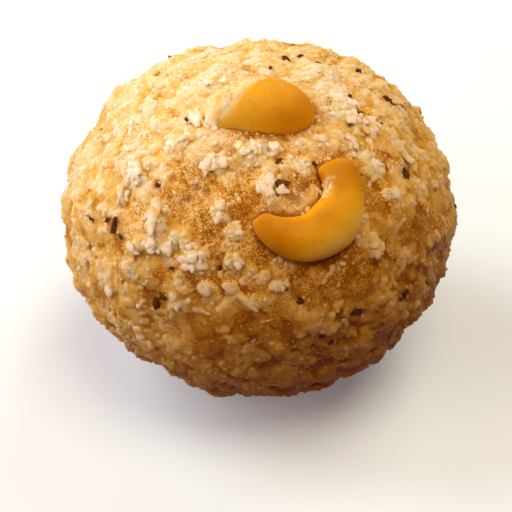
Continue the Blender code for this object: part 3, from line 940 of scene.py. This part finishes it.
def stains(surface, gaps, heap, pit):
    """From 0 to 1, how brown the paste is: stained and with painted shade beside the kernels and in the pits,
    and stained round the seeds.
    """
    # Beside the kernels: partly brown stain, partly painted contact shade.
    stain = 0.9 * halo(gaps, 0.5 * MM) + 0.25 * halo(gaps, 1.6 * MM)
    # In the pits: partly brown, partly painted shade.
    stain = stain * (1 - smooth_step(0.05, 0.4, heap)) + 0.55 * pit
    at, _, length, _ = shown_ovals(SEED_SPOTS)
    for seed, size in zip(CENTRE + at * bare_radius(at)[:, None], length):
        stain += 0.85 * halo(np.linalg.norm(surface - seed, axis=1), size * 0.85)
    return np.clip(stain, 0, 1)


def body_piece(finish):
    """The pressed crumb. Returns the piece, and the direction, radius and tone of each point."""
    directions, triangles, places = ball_grid(BODY_CUTS)
    directions = unit(directions + BODY_LEAN * unit(CAMERA_AT - CENTRE))
    up = directions[:, 2]
    base = ball_radius(directions)
    points = directions * base[:, None]
    sandy = sandy_share(points)
    height, tone = raised_paste(points, sandy)
    tone += 0.12 * near_seen(points, PALER_SPOTS)
    # Painted light and shade: paler on the lit top and left, deeper gold away from the light.
    tone += 0.3 * smooth_step(0.25, -0.35, up) * (0.5 - tone) + painted_light_shift(directions)
    above_foot = np.clip((points[:, 2] + CENTRE[2]) / FOOT_FADE, 0, 1)
    radius = base + (height - 0.32 * MM) * above_foot
    heap = heap_paste(directions, height, radius)
    tone = np.maximum(tone, 0.74 * smooth_step(0.0, 0.4, heap))
    below = up < -0.05
    radius[below] = np.minimum(radius[below], CENTRE[2] / -up[below])

    gaps = kernel_gap(CENTRE + directions * radius[:, None], 3 * MM)
    pit = near_seen(directions * bare_radius(directions)[:, None], PITS, 0.8)
    groove = 0.16 * MM * halo(gaps, 0.4 * MM) * (1 - smooth_step(0.02, 0.2, heap))
    radius = radius - 0.35 * MM * pit - groove
    surface = CENTRE + directions * radius[:, None]
    # Painted shade in the creases between the lumps, stronger towards the bottom.
    crease = np.clip((0.30 * MM - height) / (0.30 * MM), 0, 1) * (1.35 - 0.85 * up)
    obj = add_mesh("ladoo_body", surface, triangles, finish, places, ball_normals(directions), 0.58,
                   tone=tone, crease=crease, stain=stains(surface, gaps, heap, pit),
                   sandy=sandy * smooth_step(-0.15, 0.5, up))
    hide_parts("ladoo")
    return obj, directions, radius, tone


body, BODY_DIRECTIONS, BODY_RADIUS, BODY_TONE = body_piece(crumb_material())
BODY_TREE = point_tree(BODY_DIRECTIONS)


def nearest(directions):
    """Number of the body's point nearest each direction."""
    return np.array([BODY_TREE.find(Vector(d))[1] for d in directions])


# ---- crumbs, flakes, sand and seeds


def tumbled(axes, most, rng):
    """Each set of axes turned about a random line by up to this angle."""
    line = unit(rng.normal(size=(len(axes), 1, 3)))
    angle = rng.uniform(-most, most, (len(axes), 1, 1))
    along = (axes * line).sum(2, keepdims=True) * line
    return along + (axes - along) * np.cos(angle) + np.cross(line, axes) * np.sin(angle)


class Bits:
    """Collects the places, axes, sizes and tones of small pieces that lie on the ladoo."""

    def __init__(self, seed):
        self.rng = np.random.default_rng(seed)
        self.rows = []

    def draw(self, where, low, high):
        """One number for each place."""
        return self.rng.uniform(low, high, len(where))

    def sizes(self, where, low, high, flat=0.7):
        """Full lengths in mm along the three axes of a crumb in each place, the last one the thinnest."""
        length = self.draw(where, low, high) * MM
        width = length * self.draw(where, 0.5, 1)
        return np.stack((length, width, length * self.draw(where, flat - 0.15, flat + 0.15)), 1)

    def add(self, directions, sizes, lift, tones, axes=None, tumble=math.pi, over_kernels=False):
        """Lift is how far each middle lies above the crumb, or above a kernel that lies over it."""
        if axes is None:
            axes = random_turned(directions, self.rng)
        axes = tumbled(axes, tumble, self.rng)
        radius = BODY_RADIUS[nearest(directions)]
        if over_kernels:
            keep = np.ones(len(directions), bool)
            radius = np.maximum(radius, kernel_radius(directions))
        else:
            keep = ~under_kernel(directions)
        centres = CENTRE + directions * (radius + lift)[:, None]
        keep &= centres[:, 2] - sizes.max(1) / 2 > 0.15 * MM
        self.rows.append([part[keep] for part in (centres, axes, sizes, tones, radius)])

    def make(self, name, finish, rough, ragged, frequency, softness=0.65):
        centres, axes, sizes, tones, levels = (np.concatenate(part) for part in zip(*self.rows))
        obj = scatter(name, centres, axes, sizes, rough, ragged, frequency, finish, self.rng, tones, levels,
                      softness)
        return obj


def pale_crumbs():
    """Near-white clusters of sugar and coconut, at the photo's spots and strewn over the rest."""
    bits = Bits(31)
    rng = bits.rng
    at, axes, length, width = shown_ovals(row for row in PALE_SPOTS if FLAKE not in row)
    where, nearness = strewn(at, axes, length / 2, width / 2, 2.0, rng)
    # Here and below, the tones take painted light and shade: paler on the lit top and left, deeper gold away
    # from the light.
    bits.add(where, bits.sizes(where, 0.8, 1.6), (nearness * 0.3 - 0.35) * MM,
             bits.draw(where, 0.4, 0.85) + 2 * painted_light_shift(where))
    rows = np.repeat(PROUD_CLUMPS, 7, axis=0)
    at = seen_directions(rows[:, :2])
    where, _ = strewn(at, random_turned(at, rng), rows[:, 2] * MM, rows[:, 2] * MM, 0.01, rng)
    bits.add(where, bits.sizes(where, 0.6, 1.4), bits.draw(where, -0.42, 0.0) * MM,
             bits.draw(where, 0.75, 1.1) + painted_light_shift(where))
    loose = spots(170, 0.4, rng)
    reach = bits.draw(loose, 0.6, 1.7) * MM
    axes = random_turned(loose, rng)
    where, nearness = strewn(loose, axes, reach, reach * bits.draw(loose, 0.45, 1), 2.2, rng)
    bits.add(where, bits.sizes(where, 0.5, 1.2), (nearness * 0.2 - 0.36) * MM,
             bits.draw(where, 0.0, 0.6) + 2 * painted_light_shift(where))
    at, axes, length, width = shown_ovals(KERNEL_COVER, kernel_directions)
    where, nearness = strewn(at, axes, length / 2, width / 2, 5.5, rng)
    bits.add(where, bits.sizes(where, 0.35, 0.9, 0.5), (nearness * 0.1 - 0.16) * MM,
             bits.draw(where, 0.1, 0.7), tumble=0.6, over_kernels=True)
    return bits.make("crumbs_pale", grain_material("pale_crumb", PALE_RAMP, 0.55, PASTE_AND_SHADE), 0.75, 0.18, 3, 0.75)


def grit():
    """Small pale grains where the crumb is pale."""
    bits = Bits(32)
    where = spots(7000, 1.1, bits.rng)
    where = where[sandy_there(where) + bits.draw(where, -0.4, 0.4) < 0.4]
    size = bits.sizes(where, 0.35, 0.95)
    # The body's tones, painted light and shade included.
    tones = BODY_TONE[nearest(where)] + bits.draw(where, -0.05, 0.25)
    bits.add(where, size, -0.16 * size[:, 0], tones, tumble=1.0)
    return bits.make("crumbs_grit", grain_material("grit", AMBER, 0.5), 0.45, 0.1, 2)


def fine_crumbs():
    """The finest grains, crowded in the sandy places."""
    bits = Bits(33)
    where = spots(11000, 0.2, bits.rng)
    where = where[sandy_there(where) + bits.draw(where, -0.5, 0.5) > 0.55]
    size = bits.sizes(where, 0.25, 0.55, 0.8)
    # The body's tones, painted light and shade included.
    bits.add(where, size, -0.15 * size[:, 0], BODY_TONE[nearest(where)] + bits.draw(where, -0.3, 0.4))
    return bits.make("crumbs_fine", grain_material("fine_crumb", AMBER, 0.5), 0.45, 0.0, 2)


def shards(bits, at, axes, length, width, lift, palest, darkest):
    """Each flake as ragged scraps along a bent line, wider at one end."""
    bend = bits.draw(at, -0.5, 0.5)
    for step in (-0.33, -0.11, 0.11, 0.33):
        long = length * bits.draw(at, 0.42, 0.55)
        wide = width * (0.8 - 0.7 * step) * bits.draw(at, 0.75, 1.1)
        across = bend * (step**2 - 0.07) * length + bits.draw(at, -0.15, 0.15) * width
        where = at * MEAN_RADIUS + (step * length)[:, None] * axes[:, 0] + across[:, None] * axes[:, 1]
        thick = bits.draw(at, 0.5, 0.7) * MM
        # Tones take painted light and shade: paler on the lit top and left.
        bits.add(unit(where), np.stack((long, wide, thick), 1), lift + bits.draw(at, -0.04, 0.06) * MM,
                 bits.draw(at, palest, darkest) + 2 * painted_light_shift(at), axes=axes, tumble=0.2)


def flakes():
    """Thin shreds of coconut lying in the paste."""
    bits = Bits(34)
    shown = shown_ovals(row for row in PALE_SPOTS if FLAKE in row)
    shards(bits, *shown, -0.1 * MM, 0.45, 0.85)
    where = spots(150, 2.6, bits.rng)
    length = bits.draw(where, 1.4, 3.2) * MM
    width = length * bits.draw(where, 0.35, 0.6)
    shards(bits, where, random_turned(where, bits.rng), length, width, -0.16 * MM, 0.0, 0.5)
    return bits.make("flakes", grain_material("coconut_flake", PALE_RAMP, 0.55, PASTE_AND_SHADE), 0.3, 0.14, 4, 0.5)


def seeds_piece():
    """Crushed cardamom seeds: a few dark splinters in each place."""
    bits = Bits(35)
    rng = bits.rng
    at, axes, length, width = shown_ovals(SEED_SPOTS)
    count = len(at)
    for _ in range(5):
        slide = rng.uniform(-0.35, 0.35, (count, 2)) * np.stack((length, width), 1)
        where = unit(at * MEAN_RADIUS + slide[:, :1] * axes[:, 0] + slide[:, 1:] * axes[:, 1])
        part = np.stack((length, width * 0.9, width * 0.8), 1) * rng.uniform(0.5, 1.0, (count, 1))
        bits.add(where, part, 0.1 * MM, bits.draw(at, 0, 0.5), axes=axes, tumble=1.0)
    more = spots(110, 2.2, rng)
    hidden = more[(more @ unit(CAMERA_AT - CENTRE)) < 0.25]
    length = bits.draw(hidden, 0.5, 1.3) * MM
    width = length * bits.draw(hidden, 0.4, 0.8)
    bits.add(hidden, np.stack((length, width, width), 1), -0.12 * MM, bits.draw(hidden, 0, 0.6), tumble=0.3)
    everywhere = np.concatenate((at, hidden))
    reach = np.full(len(everywhere), MM)
    where, _ = strewn(everywhere, random_turned(everywhere, rng), 0.75 * reach, 0.6 * reach, 2.0, rng)
    bits.add(where, bits.sizes(where, 0.12, 0.35), -0.02 * MM, bits.draw(where, 0.3, 1.0))
    return bits.make("seeds", grain_material("seed_skin", SEED_RAMP, 0.65), 0.6, 0.2, 3)


def kernel_dust():
    """Fine grains that stick to the top kernel's upper left."""
    left, right, top, bottom = 214, 306, 72, 124
    bits = Bits(36)
    pixels = np.stack((bits.rng.uniform(left, right, 3600), bits.rng.uniform(top, bottom, 3600)), 1)
    upper = (pixels[:, 1] - top) / 40 + (pixels[:, 0] - left) / 110 < bits.draw(pixels, 0, 1.1)
    where = kernel_directions(pixels[upper])
    size = bits.sizes(where, 0.1, 0.28, 0.8)
    bits.add(where, size, -0.2 * size[:, 0], bits.draw(where, 0.5, 0.72), over_kernels=True)
    return bits.make("kernel_dust", grain_material("dust_grain", AMBER, 0.5), 0.4, 0.0, 2)


LOOSE = [pale_crumbs(), grit(), fine_crumbs(), flakes(), seeds_piece(), kernel_dust()]

# ---- floor, lights, camera


FLOOR_HALF = 0.5


def floor_piece():
    n = Nodes("floor_paper")
    cloud = n.noise(0.02, detail=2)
    colour = n.ramp(cloud, (0.3, (0.78, 0.86, 0.98)), (0.7, (0.80, 0.88, 1.0)))
    n.plug(n.shader, {"Emission Color": (0.72, 0.80, 0.88, 1), "Emission Strength": 0.17})
    finish = n.finish(colour, 0.7, specular=0.2)
    points = np.array([(-1, -1, 0), (1, -1, 0), (1, 1, 0), (-1, 1, 0)]) * FLOOR_HALF
    obj = add_mesh("floor", points, np.array([(0, 1, 2, 3)]), finish)
    return obj


LIGHT_DISTANCE = 1.2
LIGHT_SIZE = 0.75


def area_light(name, azimuth, elevation, power, colour):
    light = bpy.data.objects.new(name, bpy.data.lights.new(name, "AREA"))
    light.data.shape = "DISK"
    light.data.size = LIGHT_SIZE
    light.data.energy = power
    light.data.color = colour
    aim = Vector(heading(azimuth, elevation))
    place = Matrix.Translation(Vector(CENTRE) + aim * LIGHT_DISTANCE)
    light.matrix_world = place @ aim.to_track_quat("Z", "Y").to_matrix().to_4x4()
    bpy.context.scene.collection.objects.link(light)


def make_world():
    """Pale behind the floor, and a weak warm light on the ladoo."""
    world = bpy.data.worlds.new("studio")
    bpy.context.scene.world = world
    world.use_nodes = True
    tree = world.node_tree
    mix = tree.nodes.new("ShaderNodeMixShader")
    seen = tree.nodes.new("ShaderNodeLightPath").outputs["Is Camera Ray"]
    glow = tree.nodes["Background"]
    pale = tree.nodes.new("ShaderNodeBackground")
    for node, colour, strength in ((glow, (1.0, 0.28, 0.05, 1), 0.12), (pale, (0.92, 0.93, 0.95, 1), 1.0)):
        node.inputs["Color"].default_value = colour
        node.inputs["Strength"].default_value = strength
    sockets = (seen, glow.outputs[0], pale.outputs[0])
    for source, target in zip(sockets, mix.inputs):
        tree.links.new(source, target)
    tree.links.new(mix.outputs[0], tree.nodes["World Output"].inputs["Surface"])


floor = floor_piece()
floor.visible_diffuse = False
area_light("key_low", -110, 15, 6.2, (1.0, 0.95, 0.90))
area_light("key_high", -110, 45, 5.9, (1.0, 1.0, 0.98))
area_light("fill", -60, 32, 4.5, (1.0, 0.87, 0.72))
area_light("top", 45, 72, 6.5, (1.0, 0.87, 0.58))
area_light("rim", 140, 45, 5.2, (1.0, 0.92, 0.70))
make_world()
make_camera()
bpy.context.scene.view_settings.view_transform = "Standard"

for piece in (body, front_piece, top_piece, *LOOSE):
    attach(piece, "root")
